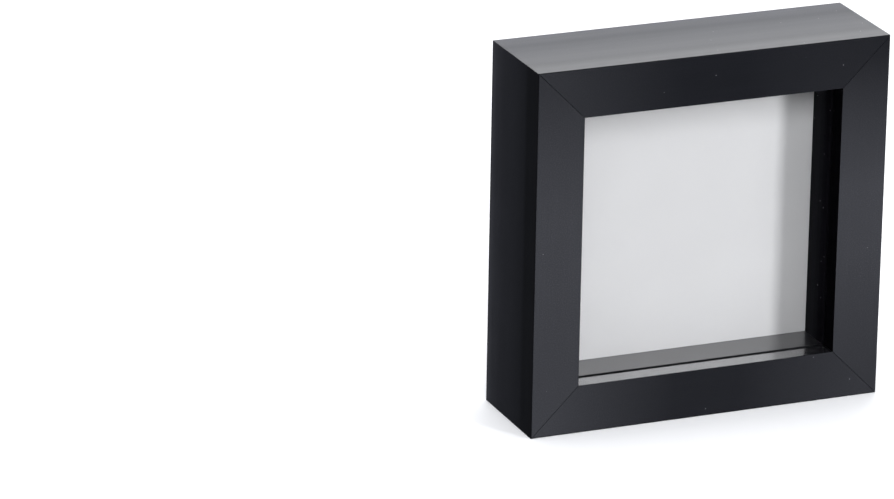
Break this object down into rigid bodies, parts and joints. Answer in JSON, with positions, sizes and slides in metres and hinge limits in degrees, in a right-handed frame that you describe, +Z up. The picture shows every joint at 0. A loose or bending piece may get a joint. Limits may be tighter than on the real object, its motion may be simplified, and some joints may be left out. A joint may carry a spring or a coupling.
{
  "type": "shadow box",
  "caption": "Square desk or wall shadow box: mitred deep mouldings, glass, spacer ring, white card, tabbed back board and a diagonal folding easel leg.",
  "frame": {"origin": "middle of the bottom face, halfway between the front and the rear faces", "axes": "+Z up, +Y from the glazed front to the rear, +X to the viewer's right"},
  "size_m": [0.13, 0.04, 0.13],
  "materials": {
    "moulding": "black satin lacquer with fine lines along each rail",
    "spacer": "black satin lacquer",
    "glass": "clear polished",
    "card": "matt white card",
    "back_hardboard": "raw brown hardboard",
    "leg_hardboard": "raw pinkish-brown hardboard",
    "hinge_steel": "zinc plated",
    "fastener_steel": "bright steel",
    "tab_steel": "dark blued steel",
    "hanger_brass": "brass plated"
  },
  "bodies": {
    "box": {"rail_bottom": "moulding", "rail_left": "moulding", "rail_top": "moulding", "rail_right": "moulding", "corner_v_nails": "fastener_steel", "glass_pane": "glass", "spacer_bottom": "spacer", "spacer_left": "spacer", "spacer_top": "spacer", "spacer_right": "spacer", "white_card": "card", "back_board": "back_hardboard", "flex_tab_roots": "tab_steel", "hanger_top": "hanger_brass", "hanger_side": "hanger_brass", "hanger_nails": "hanger_brass", "hinge_board_leaf": "hinge_steel", "board_rivets": "fastener_steel", "hinge_pin": "hinge_steel"},
    "stand_leg": {"leg": "leg_hardboard", "hinge_leg_leaf": "hinge_steel", "leg_rivets": "fastener_steel"},
    "tab_bottom": {"flex_tab_bottom": "tab_steel"},
    "tab_left": {"flex_tab_left": "tab_steel"},
    "tab_top": {"flex_tab_top": "tab_steel"},
    "tab_right": {"flex_tab_right": "tab_steel"}
  },
  "joints": [
    {"name": "leg_hinge", "type": "hinge", "parent": "box", "child": "stand_leg", "pos_m": [0.03247, 0.009, 0.09747], "axis": [0.7071, 0, -0.7071], "range_deg": [0, 43]},
    {"name": "tab_bottom_bend", "type": "hinge", "parent": "box", "child": "tab_bottom", "pos_m": [0, 0.00675, 0.0141], "axis": [-1, 0, 0], "range_deg": [0, 85]},
    {"name": "tab_left_bend", "type": "hinge", "parent": "box", "child": "tab_left", "pos_m": [-0.0509, 0.00675, 0.065], "axis": [0, 0, 1], "range_deg": [0, 85]},
    {"name": "tab_top_bend", "type": "hinge", "parent": "box", "child": "tab_top", "pos_m": [0, 0.00675, 0.1159], "axis": [1, 0, 0], "range_deg": [0, 85]},
    {"name": "tab_right_bend", "type": "hinge", "parent": "box", "child": "tab_right", "pos_m": [0.0509, 0.00675, 0.065], "axis": [0, 0, -1], "range_deg": [0, 85]}
  ]
}
